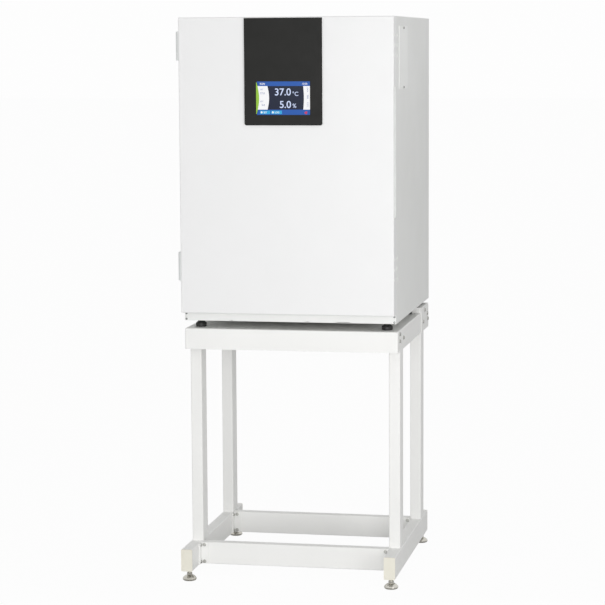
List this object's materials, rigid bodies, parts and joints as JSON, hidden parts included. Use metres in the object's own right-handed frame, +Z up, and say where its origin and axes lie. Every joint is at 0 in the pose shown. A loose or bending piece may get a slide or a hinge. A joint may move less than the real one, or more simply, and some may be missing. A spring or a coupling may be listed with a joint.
{
  "type": "carbon dioxide incubator",
  "caption": "Carbon dioxide incubator with a hinged front door, screen panel and stainless chamber with shelves, standing on a tubular steel stand with levelling feet.",
  "frame": {"origin": "on the floor, at the middle of the part's box seen from above", "axes": "+X to the right seen from the front, +Y from the door to the back, +Z up"},
  "size_m": [0.645, 0.755, 1.634],
  "materials": {
    "stand_paint": "satin powder coat",
    "bracket_steel": "satin powder coat",
    "bolt_steel": "zinc plated",
    "cap_plastic": "matt cream plastic",
    "nickel": "polished nickel plate",
    "foot_plastic": "matt black plastic",
    "cabinet_paint": "satin powder coat",
    "door_paint": "smooth powder coat",
    "door_liner": "smooth powder coat",
    "stainless": "fine brushed stainless",
    "shelf_steel": "polished stainless",
    "fitting_steel": "satin stainless",
    "hinge_steel": "satin nickel plate",
    "panel_black": "satin black plastic",
    "screen": "lit glass front",
    "board": "printed board",
    "grip_plastic": "matt light plastic",
    "gasket": "soft grey vinyl",
    "silicone": "clear-grey silicone",
    "heater": "red-brown silicone",
    "wool": "mineral wool and foam",
    "glass": "clear tempered glass",
    "knob": "matt black plastic",
    "fan": "bare cast",
    "motor": "black enamel",
    "brass": "turned brass",
    "inlet": "matt black plastic",
    "rocker": "glossy black plastic",
    "screw_steel": "zinc plated",
    "plug_plastic": "matt white plastic"
  },
  "bodies": {
    "cabinet": {"access_port": "fitting_steel", "air_duct": "stainless", "base_cross_rails": "stand_paint", "base_pan": "cabinet_paint", "base_side_rails": "stand_paint", "cabinet_hinges": "hinge_steel", "cabinet_screws": "screw_steel", "chamber_liner": "stainless", "chamber_sensors": "fitting_steel", "fan_motor": "motor", "front_frame": "cabinet_paint", "gas_feed": "brass", "gas_inlet": "brass", "heater_mats": "heater", "hinge_plugs": "plug_plastic", "inner_door_brackets": "fitting_steel", "inner_gasket": "silicone", "insulation": "wool", "main_board": "board", "power_inlet": "inlet", "rail_end_caps": "cap_plastic", "rear_cover": "cabinet_paint", "shelf_posts": "shelf_steel", "shelf_runners": "shelf_steel", "side_panel_left": "cabinet_paint", "side_panel_right": "cabinet_paint", "side_plate": "cabinet_paint", "stand_bolts": "bolt_steel", "stand_brackets": "bracket_steel", "stand_legs": "stand_paint", "stand_rear_beam": "stand_paint", "stand_top": "stand_paint", "top_cover": "cabinet_paint"},
    "door": {"door_shell": "door_paint", "door_foam": "wool", "door_inner_panel": "door_liner", "door_gasket": "gasket", "control_panel": "panel_black", "touch_screen": "screen", "display_board": "board", "door_hinges": "hinge_steel", "door_grip": "grip_plastic"},
    "inner_door": {"inner_glass": "glass", "inner_hinge_clamps": "fitting_steel"},
    "latch": {"latch_knob": "knob"},
    "fan": {"fan_wheel": "fan"},
    "stopper": {"port_stopper": "silicone"},
    "rocker": {"power_rocker": "rocker"},
    "pan": {"water_pan": "stainless"},
    "lower_shelf": {"shelf_lower": "shelf_steel"},
    "middle_shelf": {"shelf_middle": "shelf_steel"},
    "upper_shelf": {"shelf_upper": "shelf_steel"},
    "stand_foot_front_left_body": {"stand_foot_front_left": "nickel"},
    "cabinet_foot_front_left_body": {"cabinet_foot_front_left": "foot_plastic"},
    "stand_foot_front_right_body": {"stand_foot_front_right": "nickel"},
    "cabinet_foot_front_right_body": {"cabinet_foot_front_right": "foot_plastic"},
    "stand_foot_rear_left_body": {"stand_foot_rear_left": "nickel"},
    "cabinet_foot_rear_left_body": {"cabinet_foot_rear_left": "foot_plastic"},
    "stand_foot_rear_right_body": {"stand_foot_rear_right": "nickel"},
    "cabinet_foot_rear_right_body": {"cabinet_foot_rear_right": "foot_plastic"}
  },
  "joints": [
    {"name": "door_swing", "type": "hinge", "parent": "cabinet", "child": "door", "pos_m": [-0.315, -0.3215, 1.212], "axis": [0, 0, -1], "range_deg": [0, 120]},
    {"name": "inner_door_swing", "type": "hinge", "parent": "cabinet", "child": "inner_door", "pos_m": [-0.26, -0.3048, 1.1945], "axis": [0, 0, -1], "range_deg": [0, 108]},
    {"name": "latch_turn", "type": "hinge", "parent": "inner_door", "child": "latch", "pos_m": [0.2425, -0.3028, 1.1945], "axis": [0, 1, 0], "range_deg": [0, 90]},
    {"name": "fan_spin", "type": "hinge", "parent": "cabinet", "child": "fan", "pos_m": [0.0035, -0.00585, 1.497], "axis": [0, 0, 1], "continuous": true},
    {"name": "stopper_pull", "type": "slide", "parent": "cabinet", "child": "stopper", "axis": [0, 1, 0], "range_m": [0, 0.03]},
    {"name": "rocker_tip", "type": "hinge", "parent": "cabinet", "child": "rocker", "pos_m": [0.1935, 0.3475, 0.9306], "axis": [-1, 0, 0], "range_deg": [0, 16]},
    {"name": "pan_slide", "type": "slide", "parent": "cabinet", "child": "pan", "axis": [0, -1, 0], "range_m": [0, 0.1]},
    {"name": "lower_shelf_slide", "type": "slide", "parent": "cabinet", "child": "lower_shelf", "axis": [0, -1, 0], "range_m": [0, 0.1]},
    {"name": "middle_shelf_slide", "type": "slide", "parent": "cabinet", "child": "middle_shelf", "axis": [0, -1, 0], "range_m": [0, 0.1]},
    {"name": "upper_shelf_slide", "type": "slide", "parent": "cabinet", "child": "upper_shelf", "axis": [0, -1, 0], "range_m": [0, 0.1]},
    {"name": "stand_foot_front_left_screw", "type": "slide", "parent": "cabinet", "child": "stand_foot_front_left_body", "axis": [0, 0, -1], "range_m": [0, 0.012]},
    {"name": "cabinet_foot_front_left_screw", "type": "slide", "parent": "cabinet", "child": "cabinet_foot_front_left_body", "axis": [0, 0, 1], "range_m": [0, 0.005]},
    {"name": "stand_foot_front_right_screw", "type": "slide", "parent": "cabinet", "child": "stand_foot_front_right_body", "axis": [0, 0, -1], "range_m": [0, 0.012]},
    {"name": "cabinet_foot_front_right_screw", "type": "slide", "parent": "cabinet", "child": "cabinet_foot_front_right_body", "axis": [0, 0, 1], "range_m": [0, 0.005]},
    {"name": "stand_foot_rear_left_screw", "type": "slide", "parent": "cabinet", "child": "stand_foot_rear_left_body", "axis": [0, 0, -1], "range_m": [0, 0.012]},
    {"name": "cabinet_foot_rear_left_screw", "type": "slide", "parent": "cabinet", "child": "cabinet_foot_rear_left_body", "axis": [0, 0, 1], "range_m": [0, 0.005]},
    {"name": "stand_foot_rear_right_screw", "type": "slide", "parent": "cabinet", "child": "stand_foot_rear_right_body", "axis": [0, 0, -1], "range_m": [0, 0.012]},
    {"name": "cabinet_foot_rear_right_screw", "type": "slide", "parent": "cabinet", "child": "cabinet_foot_rear_right_body", "axis": [0, 0, 1], "range_m": [0, 0.005]}
  ],
  "couplings": [
    {"joint": "inner_door_swing", "follows": "door_swing", "ratio": 0.9},
    {"joint": "pan_slide", "follows": "door_swing", "m_per_rad": 0.0475},
    {"joint": "lower_shelf_slide", "follows": "door_swing", "m_per_rad": 0.0475},
    {"joint": "middle_shelf_slide", "follows": "door_swing", "m_per_rad": 0.0475},
    {"joint": "upper_shelf_slide", "follows": "door_swing", "m_per_rad": 0.0475}
  ]
}
